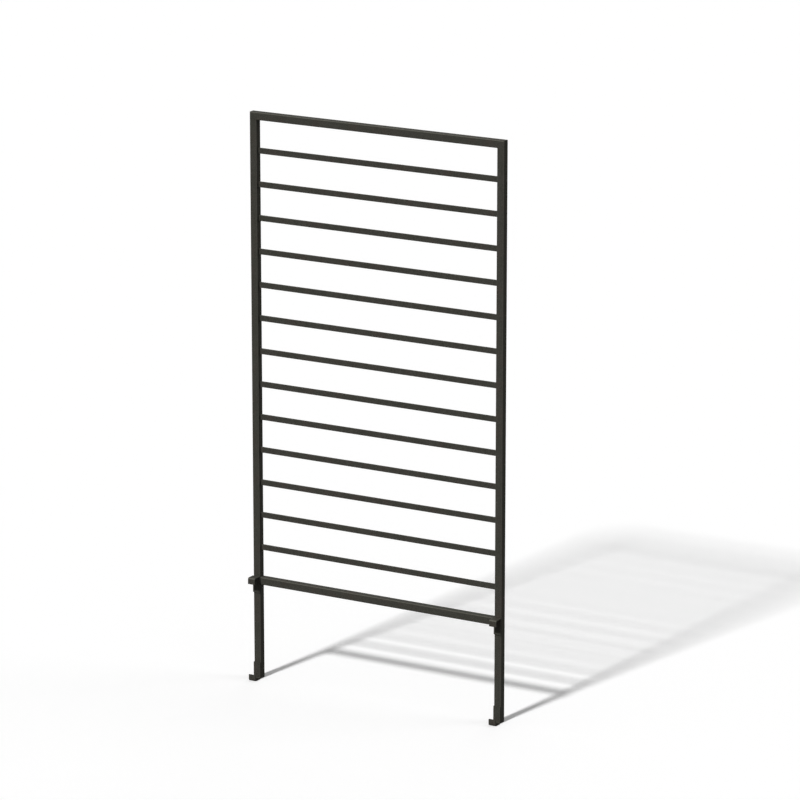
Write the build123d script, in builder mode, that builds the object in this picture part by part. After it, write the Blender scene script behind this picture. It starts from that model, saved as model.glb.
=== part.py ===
from build123d import *
import os

# Garden trellis that hooks onto a planter: a welded ladder panel of square tube and flat bar on two legs.
# Lengths are in millimetres. The origin is on the ground at the centre of the footprint: +X runs along the
# rungs, +Z is up, and the hooks and the lips of the feet stand out towards -Y.

# Frame of square tube
panel_width = 914.0
panel_height = 1874.0
leg_height = 320.0
tube_side = 25.0
tube_wall = 1.5
tube_corner_radius = 3.0
least_bore_radius = 0.5

# Rungs of flat bar
rung_count = 13
rung_height = 18.6
rung_thickness = 5.0
rung_edge_radius = 0.8

# Bent plate of the hooks and feet, the same part four times
hook_plate = 4.0
hook_slot = 26.5
hook_back_height = 56.0
hook_lip_height = 21.0
hook_bend_radius = 2.0
hook_edge_radius = 0.6

# Plugs in the open ends of the legs
plug_flange = 2.0
plug_flange_edge = 0.5
plug_insert_depth = 20.0
plug_wall = 2.0
plug_clearance = 0.1
plug_fin_height = 1.0
plug_fin_thickness = 1.2
plug_fin_count = 3

# Worked out from the values above
hook_depth = hook_slot + 2 * hook_plate
stile_x = (panel_width - tube_side) / 2
stile_y = hook_depth / 2
stile_front = stile_y - tube_side / 2
clear_width = panel_width - 2 * tube_side
rail_top = leg_height + tube_side
rung_gap = (panel_height - tube_side - rail_top - rung_count * rung_height) / (rung_count + 1)
rung_pitch = rung_height + rung_gap
bore_side = tube_side - 2 * tube_wall
bore_radius = max(tube_corner_radius - tube_wall, least_bore_radius)
fin_side = bore_side - 2 * plug_clearance
insert_side = fin_side - 2 * plug_fin_height

sides = {"left": -1, "right": 1}


def across_plane(x, z):
    """A plane square to the rungs, centred on the thickness of the panel."""
    return Plane(origin=(x, stile_y, z), x_dir=(0, 1, 0), z_dir=(1, 0, 0))


def mitre_plane(side):
    """The 45 degree joint between a stile and the top rail, facing the rail."""
    corner = (side * panel_width / 2, stile_y, panel_height)
    return Plane(origin=corner, x_dir=(0, 1, 0), z_dir=(-side, 0, 1))


def square_tube_section():
    """Square tube with rounded corners, in the sketch that is open."""
    RectangleRounded(tube_side, tube_side, tube_corner_radius)
    RectangleRounded(bore_side, bore_side, bore_radius, mode=Mode.SUBTRACT)


def write_node(part, name):
    """Label a finished piece and write it under the same name."""
    part.label = name
    export_step(part, f"parts/{name}.step")


os.makedirs("parts", exist_ok=True)

# Stiles: uprights that run on below the panel as legs, mitred at the top
for hand, side in sides.items():
    with BuildPart() as stile:
        with BuildSketch(Plane(origin=(side * stile_x, stile_y, plug_flange))):
            square_tube_section()
        extrude(amount=panel_height - plug_flange)
        split(bisect_by=mitre_plane(side), keep=Keep.BOTTOM)
    write_node(stile.part, f"{hand}_stile")

# Top rail: mitred at both ends
with BuildPart() as top_rail:
    with BuildSketch(across_plane(-panel_width / 2, panel_height - tube_side / 2)):
        square_tube_section()
    extrude(amount=panel_width)
    for side in sides.values():
        split(bisect_by=mitre_plane(side), keep=Keep.TOP)
write_node(top_rail.part, "top_rail")

# Bottom rail: cut square between the stiles, its faces flush with theirs
with BuildPart() as bottom_rail:
    with BuildSketch(across_plane(-clear_width / 2, rail_top - tube_side / 2)):
        square_tube_section()
    extrude(amount=clear_width)
write_node(bottom_rail.part, "bottom_rail")

# Rungs: flat bars on edge between the stiles, at equal gaps, counted from the top
for number in range(1, rung_count + 1):
    rung_z = panel_height - tube_side - number * rung_pitch + rung_height / 2
    with BuildPart() as rung:
        with BuildSketch(across_plane(-clear_width / 2, rung_z)):
            RectangleRounded(rung_thickness, rung_height, rung_edge_radius)
        extrude(amount=clear_width)
    write_node(rung.part, f"rung_{number:02d}")

# Hooks and feet: the web of a hook lies on the level of the rail's top and its legs hang down, and the web
# of a foot lies on the ground and its legs stand up
webs = {"rim_hook": (rail_top + hook_plate, -1), "foot_hook": (0, 1)}
back_y = stile_front - hook_plate / 2
lip_y = stile_front - hook_depth + hook_plate / 2
for kind, (web_z, up) in webs.items():
    web_middle = web_z + up * hook_plate / 2
    for hand, side in sides.items():
        with BuildPart() as hook:
            with BuildSketch(Plane.YZ.offset(side * stile_x - tube_side / 2)):
                with BuildLine():
                    FilletPolyline(
                        (back_y, web_z + up * hook_back_height),
                        (back_y, web_middle),
                        (lip_y, web_middle),
                        (lip_y, web_z + up * hook_lip_height),
                        radius=hook_bend_radius + hook_plate / 2,
                    )
                trace(line_width=hook_plate)
            extrude(amount=tube_side)
            flank_edges = hook.faces().filter_by(Axis.X).edges()
            fillet(flank_edges, radius=hook_edge_radius)
        write_node(hook.part, f"{hand}_{kind}")

# Leg plugs: a flange under the end of the tube and a hollow insert with fins inside it
for hand, side in sides.items():
    plug_x = side * stile_x
    with BuildPart() as plug:
        with BuildSketch(Plane(origin=(plug_x, stile_y, 0))):
            RectangleRounded(tube_side, tube_side, tube_corner_radius)
        extrude(amount=plug_flange)
        fillet(plug.faces().sort_by(Axis.Z)[0].edges(), radius=plug_flange_edge)
        with BuildSketch(Plane(origin=(plug_x, stile_y, plug_flange))):
            Rectangle(insert_side, insert_side)
        extrude(amount=plug_insert_depth)
        for fin in range(plug_fin_count):
            fin_z = plug_flange + (fin + 1) * plug_insert_depth / (plug_fin_count + 1)
            with BuildSketch(Plane(origin=(plug_x, stile_y, fin_z))):
                RectangleRounded(fin_side, fin_side, bore_radius)
            extrude(amount=plug_fin_thickness)
        with BuildSketch(Plane(origin=(plug_x, stile_y, plug_flange))):
            Rectangle(insert_side - 2 * plug_wall, insert_side - 2 * plug_wall)
        extrude(amount=plug_insert_depth, mode=Mode.SUBTRACT)
    write_node(plug.part, f"{hand}_leg_plug")
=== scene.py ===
# Finish and studio for a garden trellis that hooks onto a planter: a welded and powder coated steel
# ladder panel on two legs. Lengths are in metres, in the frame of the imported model: the origin is on the
# ground at the centre of the footprint, +X runs along the rungs, +Z is up, and the hooks stand out
# towards -Y.
import math
import random

import bmesh
import bpy
from bpy.props import FloatProperty, FloatVectorProperty, IntProperty, PointerProperty
from bpy.types import Operator, Panel, PropertyGroup
from mathutils import Matrix, Vector


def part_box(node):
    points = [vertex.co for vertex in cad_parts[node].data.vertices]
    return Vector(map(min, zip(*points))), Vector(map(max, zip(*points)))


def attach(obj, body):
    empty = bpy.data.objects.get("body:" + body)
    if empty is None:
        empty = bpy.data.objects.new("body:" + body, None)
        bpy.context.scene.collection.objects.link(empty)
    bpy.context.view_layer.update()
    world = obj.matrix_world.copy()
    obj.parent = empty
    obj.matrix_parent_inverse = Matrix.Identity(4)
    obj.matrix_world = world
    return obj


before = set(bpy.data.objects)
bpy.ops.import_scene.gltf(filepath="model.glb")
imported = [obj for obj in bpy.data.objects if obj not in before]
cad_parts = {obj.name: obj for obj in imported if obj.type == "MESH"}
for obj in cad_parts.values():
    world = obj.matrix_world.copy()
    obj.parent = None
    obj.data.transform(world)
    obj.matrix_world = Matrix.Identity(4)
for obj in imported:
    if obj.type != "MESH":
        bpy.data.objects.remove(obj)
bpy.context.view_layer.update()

bl_info = {
    "name": "Garden Trellis Finish",
    "version": (1, 0, 0),
    "blender": (4, 5, 0),
    "location": "3D View > Sidebar > Trellis",
    "description": "Powder coats, welds and plugs a hook-on garden trellis and lights it in a studio",
    "category": "Object",
}

MM = 0.001
BODY = "root"
AXES = "XYZ"

SIDES = {"left": -1, "right": 1}
UPRIGHTS = ["left_stile", "right_stile"]
RAILS = ["top_rail", "bottom_rail"]
RUNGS = sorted(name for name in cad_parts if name.startswith("rung_"))
RIM_HOOKS = ["left_rim_hook", "right_rim_hook"]
FOOT_HOOKS = ["left_foot_hook", "right_foot_hook"]
PLUGS = sorted(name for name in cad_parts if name.endswith("_leg_plug"))

# Radius of the rounded corners of the tube
TUBE_ROUND = 3 * MM
# A bead on a foot starts no lower than this, clear of the plug's flange
LOWEST_BEAD = 5 * MM
# Pieces whose edges lie this near to each other count as being on one line
FLUSH = 1 * MM
# How far the middle of a bead lies inside the groove that it fills, as a share of its radius
RAIL_GROOVE_SINK = 0.7
HOOK_GROOVE_SINK = 0.6


def linear(hex_colour):
    """The linear RGBA of an sRGB colour written as six hex digits."""
    channels = [int(hex_colour[place:place + 2], 16) / 255 for place in (0, 2, 4)]
    return [c / 12.92 if c <= 0.04045 else ((c + 0.055) / 1.055) ** 2.4 for c in channels] + [1.0]


def length_of(name, description, millimetres):
    """A length that the panel shows in the scene's own unit."""
    return FloatProperty(name=name, description=description, default=millimetres * MM, min=0.0,
                         precision=5, subtype="DISTANCE", unit="LENGTH")


def share_of(name, description, share):
    """A share from 0 to 1."""
    return FloatProperty(name=name, description=description, default=share, min=0.0, max=1.0,
                         subtype="FACTOR")


def level_of(name, description, level):
    """A strength of light."""
    return FloatProperty(name=name, description=description, default=level, min=0.0)


def angle_of(name, description, degrees):
    """An angle that the panel shows in degrees."""
    return FloatProperty(name=name, description=description, default=math.radians(degrees),
                         subtype="ANGLE", unit="ROTATION")


def travel_of(name, description, way):
    """The way that a light travels."""
    return FloatVectorProperty(name=name, description=description, default=way, subtype="DIRECTION")


def colour_of(name, description, hex_colour):
    """A colour, kept linear."""
    return FloatVectorProperty(name=name, description=description, default=linear(hex_colour), size=4,
                               min=0.0, max=1.0, subtype="COLOR")


class CoatSettings(PropertyGroup):
    """The powder coat on the steel"""

    colour: colour_of("Colour", "Main colour of the coat", "44433e")
    dark_colour: colour_of("Dark colour", "Where the coat lies thicker", "40403a")
    warm_colour: colour_of("Warm colour", "Cast of the bronze pigment", "47413c")
    # Painted highlight: a lighter colour on the rounded corners, strongest on those that look up, standing
    # in for the glint of the light from above
    painted_highlight_colour: colour_of("Edge colour", "Painted highlight on the rounded corners, strongest where they look up", "68675f")
    cloud_size: length_of("Cloud size", "Width of the soft patches of uneven spraying", 42.0)
    streak_length: length_of("Streak length", "Length of the rolling marks under the coat", 130.0)
    streak_width: length_of("Streak width", "Width of the rolling marks under the coat", 5.0)
    speck_size: length_of("Speck size", "Width of the light and dark specks of pigment", 2.6)
    peel_size: length_of("Orange peel size", "Width of the waves that cured powder keeps", 5.0)
    peel_height: length_of("Orange peel height", "Height of those waves", 0.05)
    grain_size: length_of("Grain size", "Width of the grains of the fine texture", 1.2)
    grain_height: length_of("Grain height", "Height of those grains", 0.1)
    roughness: share_of("Roughness", "Roughness of the flat faces", 0.75)
    # Roughness under the painted highlight on the rounded corners
    edge_roughness: share_of("Edge roughness", "Roughness where the painted highlight lies", 0.6)
    gloss: share_of("Gloss", "Strength of the reflection, which the fine texture breaks up", 0.03)


class WeldSettings(PropertyGroup):
    """The weld beads under the coat"""

    rung_bead: length_of("Rung bead", "Radius of the beads at the ends of the rungs", 1.7)
    corner_bead: length_of("Corner bead", "Radius of the beads in the corners of the frame", 2.0)
    groove_bead: length_of("Groove bead", "Radius of the beads in the grooves of rounded tube", 1.4)
    end_gap: length_of("End gap", "How far a bead stops short of an edge", 1.6)
    stitch_length: length_of("Stitch length", "Length of a bead along a hook", 15.0)
    ripple_pitch: length_of("Ripple pitch", "Distance between the ripples of a bead", 1.5)
    ripple_depth: share_of("Ripple depth", "Share of a bead's radius that its ripples take", 0.12)
    unevenness: share_of("Unevenness", "Share by which a bead's thickness and ends vary", 0.1)
    seed: IntProperty(name="Seed", description="Start of the unevenness", default=7)


class PlugSettings(PropertyGroup):
    """The moulded plugs in the ends of the legs"""

    colour: colour_of("Colour", "Colour of the plastic", "1d1d1e")
    worn_colour: colour_of("Worn colour", "Where the ground has scuffed it", "343432")
    scuff_size: length_of("Scuff size", "Width of the scuffed patches", 9.0)
    texture_size: length_of("Texture size", "Width of the mould's spark eroded grains", 0.8)
    texture_height: length_of("Texture height", "Height of those grains", 0.02)
    roughness: share_of("Roughness", "Roughness of the moulded face", 0.5)
    worn_roughness: share_of("Worn roughness", "Roughness where it is scuffed", 0.7)


class StudioSettings(PropertyGroup):
    """The floor, the light and the camera"""

    floor_reach: length_of("Floor reach", "From the middle of the floor to its edge", 80000.0)
    floor_colour: colour_of("Floor colour", "Paint of the floor, as it lights the object", "6e6e6e")
    floor_white: level_of("Floor white", "Paint of the floor, as the camera sees it", 1.12)
    key_strength: level_of("Key strength", "Strength of the key light", 2.65)
    key_angle: angle_of("Key angle", "Width of the key light, as the object sees it", 5.5)
    key_travel: travel_of("Key travel", "Way that the key light travels", (0.1397, 1.0625, -1.0))
    fill_strength: level_of("Fill strength", "Strength of the weak light from the right", 0.34)
    fill_angle: angle_of("Fill angle", "Width of the fill light, as the object sees it", 30.0)
    fill_travel: travel_of("Fill travel", "Way that the fill light travels", (-0.866, -0.5, -0.6))
    rear_strength: level_of("Rear strength", "Strength of the low, broad light from behind", 0.6)
    rear_angle: angle_of("Rear angle", "Width of the rear light, as the object sees it", 40.0)
    rear_travel: travel_of("Rear travel", "Way that the rear light travels", (0.2, -1.0, -0.12))
    sky_strength: level_of("Sky strength", "Strength of the light from all round", 0.235)
    view_azimuth: angle_of("View azimuth", "Camera's way round from the front", 30.0225)
    view_elevation: angle_of("View elevation", "Camera's height above the horizon", 14.9889)
    view_distance: length_of("View distance", "From the camera to the point it aims at", 14152.0)
    view_target: FloatVectorProperty(name="View target", description="Point that the camera aims at",
                                     default=(0.08296, 0.01725, 1.0040), subtype="XYZ", unit="LENGTH")
    focal_length: FloatProperty(name="Focal length", description="Focal length of the camera's lens",
                                default=202.8, min=1.0, unit="CAMERA")


def add_node(tree, kind, inputs=None, **settings):
    """Add a node with its settings, and set each input, or link it to a socket or a node's first output.

    Inputs go by name, or by place where several share a name.
    """
    node = tree.nodes.new(kind)
    for name, value in settings.items():
        setattr(node, name, value)
    shown = [socket for socket in node.inputs if socket.enabled]
    for key, value in (inputs or {}).items():
        socket = shown[key] if isinstance(key, int) else next(s for s in shown if s.name == key)
        if isinstance(value, bpy.types.Node):
            value = next(output for output in value.outputs if output.enabled)
        if isinstance(value, bpy.types.NodeSocket):
            tree.links.new(value, socket)
        else:
            socket.default_value = value
    return node


def empty_material(name):
    """A material with no nodes yet, and its node tree."""
    material = bpy.data.materials.new(name)
    material.use_nodes = True
    material.node_tree.nodes.clear()
    return material, material.node_tree


def finish_nodes(names, material):
    """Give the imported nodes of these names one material."""
    for name in names:
        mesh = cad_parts[name].data
        mesh.materials.clear()
        mesh.materials.append(material)


def powder_coat(name, coat, along, with_painted_highlight=True):
    """Fine-textured polyester powder, sprayed and oven cured on steel that was rolled along one axis.

    To the eye it is a matt, nearly black bronze grey, with soft clouds of uneven spraying, faint rolling
    marks and specks of pigment. Its rounded corners carry a painted highlight, strongest where they look
    up.
    """
    material, tree = empty_material(name)
    place = add_node(tree, "ShaderNodeTexCoord")
    where = place.outputs["Object"]

    clouds = add_node(tree, "ShaderNodeTexNoise", {
        "Vector": where, "Scale": 1 / coat.cloud_size, "Detail": 3.0, "Roughness": 0.55})
    thickness = add_node(tree, "ShaderNodeMapRange", {
        "Value": clouds, "From Min": 0.35, "From Max": 0.65})
    body = add_node(tree, "ShaderNodeMix", {
        "Factor": thickness, "A": coat.dark_colour, "B": coat.colour}, data_type="RGBA")
    elsewhere = add_node(tree, "ShaderNodeMapping", {"Vector": where, "Location": (3.1, 1.7, 2.3)})
    bronze = add_node(tree, "ShaderNodeTexNoise", {
        "Vector": elsewhere, "Scale": 1 / coat.cloud_size, "Detail": 2.0, "Roughness": 0.5})
    cast = add_node(tree, "ShaderNodeMapRange", {
        "Value": bronze, "From Min": 0.5, "From Max": 0.75, "To Max": 0.7})
    body = add_node(tree, "ShaderNodeMix", {
        "Factor": cast, "A": body, "B": coat.warm_colour}, data_type="RGBA")

    stretch = [1 / coat.streak_width] * 3
    stretch[AXES.index(along)] = 1 / coat.streak_length
    drawn_out = add_node(tree, "ShaderNodeMapping", {"Vector": where, "Scale": stretch})
    streaks = add_node(tree, "ShaderNodeTexNoise", {
        "Vector": drawn_out, "Scale": 1.0, "Detail": 4.0, "Roughness": 0.6})
    # The real specks are under 1 mm wide, too fine to show, so they are drawn a few times as wide
    specks = add_node(tree, "ShaderNodeTexNoise", {
        "Vector": where, "Scale": 1 / coat.speck_size, "Detail": 2.0, "Roughness": 0.7})
    streak_tone = add_node(tree, "ShaderNodeMapRange", {
        "Value": streaks, "From Min": 0.3, "From Max": 0.7, "To Min": 0.94, "To Max": 1.06})
    speck_tone = add_node(tree, "ShaderNodeMapRange", {
        "Value": specks, "From Min": 0.3, "From Max": 0.7, "To Min": 0.6, "To Max": 1.4})
    tone = add_node(tree, "ShaderNodeMath", {0: streak_tone, 1: speck_tone}, operation="MULTIPLY")
    body = add_node(tree, "ShaderNodeMix", {
        "Factor": 1.0, "A": body, "B": tone}, data_type="RGBA", blend_type="MULTIPLY")

    # Every flat face looks along an axis, so a normal between the axes marks a rounded corner
    facing = add_node(tree, "ShaderNodeVectorMath", {0: place.outputs["Normal"]}, operation="ABSOLUTE")
    parts = add_node(tree, "ShaderNodeSeparateXYZ", {"Vector": facing})
    widest = add_node(tree, "ShaderNodeMath", {
        0: parts.outputs["X"], 1: parts.outputs["Y"]}, operation="MAXIMUM")
    widest = add_node(tree, "ShaderNodeMath", {0: widest, 1: parts.outputs["Z"]}, operation="MAXIMUM")
    corner = add_node(tree, "ShaderNodeMapRange", {
        "Value": widest, "From Min": 0.98, "From Max": 0.85, "To Max": 1.0})
    patchy = add_node(tree, "ShaderNodeMapRange", {
        "Value": specks, "From Min": 0.35, "From Max": 0.65, "To Min": 0.4, "To Max": 1.0})
    painted_highlight = add_node(tree, "ShaderNodeMath", {0: corner, 1: patchy}, operation="MULTIPLY")
    # Painted highlight: the corners that look up are made lighter, as if the light from above caught them
    upward = add_node(tree, "ShaderNodeSeparateXYZ", {"Vector": place.outputs["Normal"]})
    lit_from_above = add_node(tree, "ShaderNodeMapRange", {
        "Value": upward.outputs["Z"], "From Min": -0.3, "From Max": 0.5,
        "To Min": 0.15 if with_painted_highlight else 0.0, "To Max": 1.0 if with_painted_highlight else 0.0})
    painted_highlight = add_node(tree, "ShaderNodeMath", {0: painted_highlight, 1: lit_from_above}, operation="MULTIPLY")
    # Mixes the painted highlight colour into the coat on the rounded corners
    body = add_node(tree, "ShaderNodeMix", {
        "Factor": painted_highlight, "A": body, "B": coat.painted_highlight_colour}, data_type="RGBA")
    roughness = add_node(tree, "ShaderNodeMapRange", {
        "Value": painted_highlight, "To Min": coat.roughness, "To Max": coat.edge_roughness})

    peel = add_node(tree, "ShaderNodeTexNoise", {
        "Vector": where, "Scale": 1 / coat.peel_size, "Detail": 1.0})
    waves = add_node(tree, "ShaderNodeBump", {"Height": peel, "Distance": coat.peel_height})
    # The real grains are about 0.4 mm wide, too fine to show, so they are drawn a few times as wide
    grains = add_node(tree, "ShaderNodeTexNoise", {
        "Vector": where, "Scale": 1 / coat.grain_size, "Detail": 3.0, "Roughness": 0.6})
    texture = add_node(tree, "ShaderNodeBump", {
        "Height": grains, "Distance": coat.grain_height, "Normal": waves})

    # With the usual reflection the coat would mirror the white floor and sky and look chalky
    surface = add_node(tree, "ShaderNodeBsdfPrincipled", {
        "Base Color": body, "Roughness": roughness, "IOR": 1.5, "Specular IOR Level": coat.gloss,
        "Normal": texture})
    add_node(tree, "ShaderNodeOutputMaterial", {"Surface": surface})
    return material


def moulded_polyethylene(name, plug):
    """Black low-density polyethylene, moulded in a spark eroded tool.

    To the eye it is a soft black with a dull sheen, paler and duller where the ground has scuffed it.
    """
    material, tree = empty_material(name)
    where = add_node(tree, "ShaderNodeTexCoord").outputs["Object"]
    patches = add_node(tree, "ShaderNodeTexNoise", {
        "Vector": where, "Scale": 1 / plug.scuff_size, "Detail": 5.0, "Roughness": 0.65})
    scuffs = add_node(tree, "ShaderNodeMapRange", {"Value": patches, "From Min": 0.5, "From Max": 0.7})
    body = add_node(tree, "ShaderNodeMix", {
        "Factor": scuffs, "A": plug.colour, "B": plug.worn_colour}, data_type="RGBA")
    roughness = add_node(tree, "ShaderNodeMapRange", {
        "Value": scuffs, "To Min": plug.roughness, "To Max": plug.worn_roughness})
    # The real grains are about 0.1 mm wide, too fine to show, so they are drawn several times as wide
    grains = add_node(tree, "ShaderNodeTexNoise", {
        "Vector": where, "Scale": 1 / plug.texture_size, "Detail": 2.0})
    texture = add_node(tree, "ShaderNodeBump", {"Height": grains, "Distance": plug.texture_height})
    surface = add_node(tree, "ShaderNodeBsdfPrincipled", {
        "Base Color": body, "Roughness": roughness, "IOR": 1.51, "Specular IOR Level": 0.4,
        "Normal": texture})
    add_node(tree, "ShaderNodeOutputMaterial", {"Surface": surface})
    return material


class WeldTorch:
    """Lays rippled beads that differ a little from each other, and makes pieces of them."""

    segments = 8
    rings_per_ripple = 3
    # Share of its radius that a bead keeps at its very ends
    end_radius = 0.35

    def __init__(self, weld, seed):
        self.weld = weld
        self.groove_depth = weld.groove_bead * (1 + weld.ripple_depth)
        self.random = random.Random(seed)
        self.mesh = bmesh.new()

    def lay(self, start, end, radius):
        """A bead from start to end: a round bar that swells at each ripple and tapers at both ends."""
        weld = self.weld
        spread = weld.unevenness
        radius *= 1 - spread * self.random.random()
        start, end = Vector(start), Vector(end)
        run = end - start
        length = run.length * (1 - spread * self.random.random())
        ripples = max(2, round(length / weld.ripple_pitch))
        phase = self.random.random()

        before = len(self.mesh.verts)
        bmesh.ops.create_cone(self.mesh, cap_ends=True, segments=self.segments, radius1=radius,
                              radius2=radius, depth=length)
        self.mesh.verts.ensure_lookup_table()
        long_edges = {edge for vert in self.mesh.verts[before:] for edge in vert.link_edges
                      if edge.calc_length() > length / 2}
        bmesh.ops.subdivide_edges(self.mesh, edges=list(long_edges),
                                  cuts=ripples * self.rings_per_ripple - 1, use_grid_fill=False)
        self.mesh.verts.ensure_lookup_table()
        bead = self.mesh.verts[before:]
        for vert in bead:
            along = vert.co.z / length + 0.5
            ripple = math.cos(math.tau * (along * ripples + phase)) * weld.ripple_depth
            from_end = min(max(min(along, 1 - along) * length / radius, 0.0), 1.0)
            taper = math.sqrt(1 - (1 - from_end) ** 2)
            swell = max(taper, self.end_radius) * (1 + ripple)
            vert.co.x *= swell
            vert.co.y *= swell
        turn = run.to_track_quat("Z", "Y").to_matrix().to_4x4()
        bmesh.ops.transform(self.mesh, matrix=Matrix.Translation((start + end) / 2) @ turn, verts=bead)

    def piece(self, name, material):
        """The beads laid since the last piece, as one object that rides on the trellis."""
        bmesh.ops.recalc_face_normals(self.mesh, faces=self.mesh.faces)
        for face in self.mesh.faces:
            face.smooth = True
        mesh = bpy.data.meshes.new(name)
        self.mesh.to_mesh(mesh)
        self.mesh.free()
        self.mesh = bmesh.new()
        mesh.materials.append(material)
        beads = bpy.data.objects.new(name, mesh)
        bpy.context.scene.collection.objects.link(beads)
        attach(beads, BODY)


def inner_face(side):
    """X of the face of a stile that looks at the rungs."""
    low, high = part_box("rung_01")
    return high.x if side > 0 else low.x


class TRELLIS_OT_coat_frame(Operator):
    """Powder coat the stiles and the rails"""

    bl_idname = "trellis.coat_frame"
    bl_label = "Coat Frame"

    def execute(self, context):
        coat = context.scene.trellis_coat
        finish_nodes(UPRIGHTS, powder_coat("Powder coat on upright steel tube", coat, "Z"))
        finish_nodes(RAILS, powder_coat("Powder coat on level steel tube", coat, "X"))
        return {"FINISHED"}


class TRELLIS_OT_coat_rungs(Operator):
    """Powder coat the flat bars of the rungs"""

    bl_idname = "trellis.coat_rungs"
    bl_label = "Coat Rungs"

    def execute(self, context):
        coat = context.scene.trellis_coat
        finish_nodes(RUNGS, powder_coat("Powder coat on rolled flat bar", coat, "X"))
        return {"FINISHED"}


class TRELLIS_OT_coat_hooks(Operator):
    """Powder coat the bent plates of the hooks and feet"""

    bl_idname = "trellis.coat_hooks"
    bl_label = "Coat Hooks and Feet"

    def execute(self, context):
        coat = context.scene.trellis_coat
        finish_nodes(RIM_HOOKS, powder_coat("Powder coat on bent steel plate", coat, "X"))
        # The feet get no painted highlight on their corners
        finish_nodes(FOOT_HOOKS, powder_coat("Powder coat on bent steel plate without painted highlight", coat, "X",
                                             with_painted_highlight=False))
        return {"FINISHED"}


class TRELLIS_OT_mould_plugs(Operator):
    """Finish the plastic plugs in the ends of the legs"""

    bl_idname = "trellis.mould_plugs"
    bl_label = "Mould Leg Plugs"

    def execute(self, context):
        finish_nodes(PLUGS, moulded_polyethylene("Moulded polyethylene", context.scene.trellis_plugs))
        return {"FINISHED"}


class TRELLIS_OT_weld_rungs(Operator):
    """Lay a bead up the front and the back of each rung's ends"""

    bl_idname = "trellis.weld_rungs"
    bl_label = "Weld Rungs"

    def execute(self, context):
        weld = context.scene.trellis_welds
        material = powder_coat("Powder coat on rung welds", context.scene.trellis_coat, "Z",
                               with_painted_highlight=False)
        torch = WeldTorch(weld, weld.seed)
        for name in RUNGS:
            low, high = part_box(name)
            bottom, top = low.z + weld.end_gap, high.z - weld.end_gap
            for x in (low.x, high.x):
                for y in (low.y, high.y):
                    torch.lay((x, y, bottom), (x, y, top), weld.rung_bead)
            torch.piece(f"{name}_welds", material)
        return {"FINISHED"}


class TRELLIS_OT_weld_frame(Operator):
    """Lay beads in the frame's inner corners and fill the grooves at the ends of the bottom rail"""

    bl_idname = "trellis.weld_frame"
    bl_label = "Weld Frame"

    def execute(self, context):
        weld = context.scene.trellis_welds
        material = powder_coat("Powder coat on frame welds", context.scene.trellis_coat, "Y",
                               with_painted_highlight=False)
        torch = WeldTorch(weld, weld.seed + 1)
        under_top_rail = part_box("top_rail")[0].z
        low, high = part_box("bottom_rail")
        front, back = low.y + TUBE_ROUND, high.y - TUBE_ROUND
        bottom, top = low.z + TUBE_ROUND, high.z - TUBE_ROUND
        for hand, side in SIDES.items():
            x = inner_face(side)
            torch.lay((x, front, under_top_rail), (x, back, under_top_rail), weld.corner_bead)
            torch.piece(f"{hand}_top_corner_weld", material)
            for z in (low.z, high.z):
                torch.lay((x, front, z), (x, back, z), weld.corner_bead)
            groove_x = x + side * weld.groove_bead * RAIL_GROOVE_SINK
            for y in (low.y + torch.groove_depth, high.y - torch.groove_depth):
                torch.lay((groove_x, y, bottom), (groove_x, y, top), weld.groove_bead)
            torch.piece(f"{hand}_bottom_rail_welds", material)
        return {"FINISHED"}


class TRELLIS_OT_weld_hooks(Operator):
    """Stitch the back plates of the hooks and feet to the stiles along both edges"""

    bl_idname = "trellis.weld_hooks"
    bl_label = "Weld Hooks and Feet"

    def execute(self, context):
        weld = context.scene.trellis_welds
        material = powder_coat("Powder coat on hook welds", context.scene.trellis_coat, "Z",
                               with_painted_highlight=False)
        torch = WeldTorch(weld, weld.seed + 2)
        rail_low, rail_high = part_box("bottom_rail")
        for name in RIM_HOOKS + FOOT_HOOKS:
            low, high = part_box(name)
            plate_back = high.y
            near_top = (high.z - weld.end_gap - weld.stitch_length, high.z - weld.end_gap)
            near_bottom = (low.z + weld.end_gap, low.z + weld.end_gap + weld.stitch_length)
            for x, inward in ((low.x, 1), (high.x, -1)):
                groove_x = x + inward * torch.groove_depth
                groove_y = plate_back + weld.groove_bead * HOOK_GROOVE_SINK
                for bottom, top in (near_top, near_bottom):
                    bottom = max(bottom, LOWEST_BEAD)
                    # Beside the rail, the rail's own bead fills the groove, and this one lies over it
                    if abs(x) < rail_high.x + FLUSH and top > rail_low.z:
                        torch.lay((x, plate_back, bottom), (x, plate_back, top), weld.groove_bead)
                    else:
                        torch.lay((groove_x, groove_y, bottom), (groove_x, groove_y, top),
                                  weld.groove_bead)
            torch.piece(f"{name}_welds", material)
        return {"FINISHED"}


def seen_rays(tree):
    """1 for the rays of the camera and of reflections, and 0 for those that carry light."""
    rays = add_node(tree, "ShaderNodeLightPath").outputs
    seen = add_node(tree, "ShaderNodeMath", {
        0: rays["Is Camera Ray"], 1: rays["Is Glossy Ray"]}, operation="MAXIMUM")
    return add_node(tree, "ShaderNodeMath", {
        0: seen, 1: rays["Is Transmission Ray"]}, operation="MAXIMUM")


def painted_floor(name, studio):
    """Matt white floor paint, which the camera and reflections see as white and shadows still darken."""
    material, tree = empty_material(name)
    paint = add_node(tree, "ShaderNodeMix", {
        "Factor": seen_rays(tree), "A": studio.floor_colour, "B": [studio.floor_white] * 3 + [1.0]},
        data_type="RGBA")
    surface = add_node(tree, "ShaderNodeBsdfDiffuse", {"Color": paint})
    add_node(tree, "ShaderNodeOutputMaterial", {"Surface": surface})
    return material


def studio_sky(name, studio):
    """Even light from all round, which the camera and reflections see as white."""
    world = bpy.data.worlds.new(name)
    world.use_nodes = True
    tree = world.node_tree
    tree.nodes.clear()
    strength = add_node(tree, "ShaderNodeMapRange", {
        "Value": seen_rays(tree), "To Min": studio.sky_strength, "To Max": 1.0})
    sky = add_node(tree, "ShaderNodeBackground", {"Color": (1.0, 1.0, 1.0, 1.0), "Strength": strength})
    add_node(tree, "ShaderNodeOutputWorld", {"Surface": sky})
    return world


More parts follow.
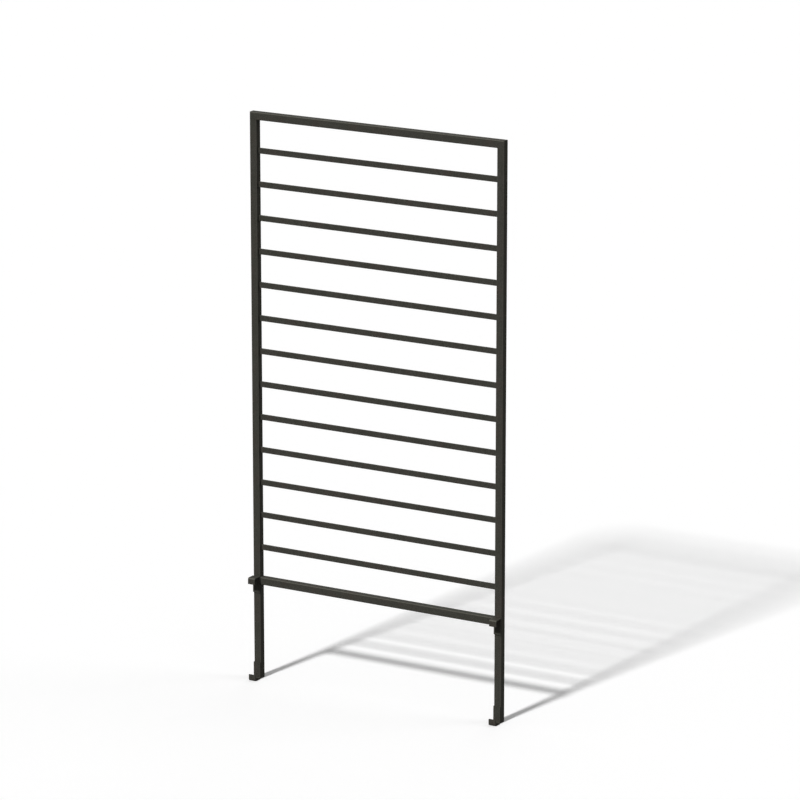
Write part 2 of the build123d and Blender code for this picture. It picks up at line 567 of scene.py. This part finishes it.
class TRELLIS_OT_set_studio(Operator):
    """Lay the floor and set up the light and the camera"""

    bl_idname = "trellis.set_studio"
    bl_label = "Set Up Studio"

    def execute(self, context):
        scene = context.scene
        studio = scene.trellis_studio
        scene.view_settings.view_transform = "Standard"
        scene.world = studio_sky("Studio sky", studio)

        ground = bmesh.new()
        bmesh.ops.create_grid(ground, x_segments=1, y_segments=1, size=studio.floor_reach)
        mesh = bpy.data.meshes.new("studio_floor")
        ground.to_mesh(mesh)
        ground.free()
        mesh.materials.append(painted_floor("Matt white floor paint", studio))
        floor = bpy.data.objects.new("studio_floor", mesh)
        scene.collection.objects.link(floor)

        lamps = {"key_light": (studio.key_strength, studio.key_angle, studio.key_travel),
                 "fill_light": (studio.fill_strength, studio.fill_angle, studio.fill_travel),
                 "rear_light": (studio.rear_strength, studio.rear_angle, studio.rear_travel)}
        for name, (strength, width, travel) in lamps.items():
            light = bpy.data.lights.new(name, "SUN")
            light.energy = strength
            light.angle = width
            lamp = bpy.data.objects.new(name, light)
            lamp.rotation_euler = Vector(travel).to_track_quat("-Z", "Y").to_euler()
            scene.collection.objects.link(lamp)

        lens = bpy.data.cameras.new("camera")
        lens.lens = studio.focal_length
        camera = bpy.data.objects.new("camera", lens)
        level = math.cos(studio.view_elevation)
        back = Vector((math.sin(studio.view_azimuth) * level, -math.cos(studio.view_azimuth) * level,
                       math.sin(studio.view_elevation)))
        camera.location = Vector(studio.view_target) + studio.view_distance * back
        camera.rotation_euler = back.to_track_quat("Z", "Y").to_euler()
        scene.collection.objects.link(camera)
        scene.camera = camera
        return {"FINISHED"}


STEPS = (TRELLIS_OT_coat_frame, TRELLIS_OT_coat_rungs, TRELLIS_OT_coat_hooks, TRELLIS_OT_mould_plugs,
         TRELLIS_OT_weld_rungs, TRELLIS_OT_weld_frame, TRELLIS_OT_weld_hooks, TRELLIS_OT_set_studio)
SETTINGS = {"trellis_coat": CoatSettings, "trellis_welds": WeldSettings, "trellis_plugs": PlugSettings,
            "trellis_studio": StudioSettings}


class TRELLIS_PT_sidebar(Panel):
    """The trellis's steps and settings"""

    bl_label = "Garden Trellis"
    bl_space_type = "VIEW_3D"
    bl_region_type = "UI"
    bl_category = "Trellis"

    def draw(self, context):
        for step in STEPS:
            self.layout.operator(step.bl_idname)
        for group in SETTINGS:
            settings = getattr(context.scene, group)
            box = self.layout.box()
            for name in settings.bl_rna.properties.keys():
                if name not in ("rna_type", "name"):
                    box.prop(settings, name)


def register():
    for group in SETTINGS.values():
        bpy.utils.register_class(group)
    for name, group in SETTINGS.items():
        setattr(bpy.types.Scene, name, PointerProperty(type=group))
    for step in STEPS:
        bpy.utils.register_class(step)
    bpy.utils.register_class(TRELLIS_PT_sidebar)


def unregister():
    bpy.utils.unregister_class(TRELLIS_PT_sidebar)
    for step in reversed(STEPS):
        bpy.utils.unregister_class(step)
    for name in SETTINGS:
        delattr(bpy.types.Scene, name)
    for group in reversed(SETTINGS.values()):
        bpy.utils.unregister_class(group)


def main():
    register()
    bpy.ops.trellis.coat_frame()
    bpy.ops.trellis.coat_rungs()
    bpy.ops.trellis.coat_hooks()
    bpy.ops.trellis.mould_plugs()
    bpy.ops.trellis.weld_rungs()
    bpy.ops.trellis.weld_frame()
    bpy.ops.trellis.weld_hooks()
    bpy.ops.trellis.set_studio()


if __name__ == "__main__":
    main()
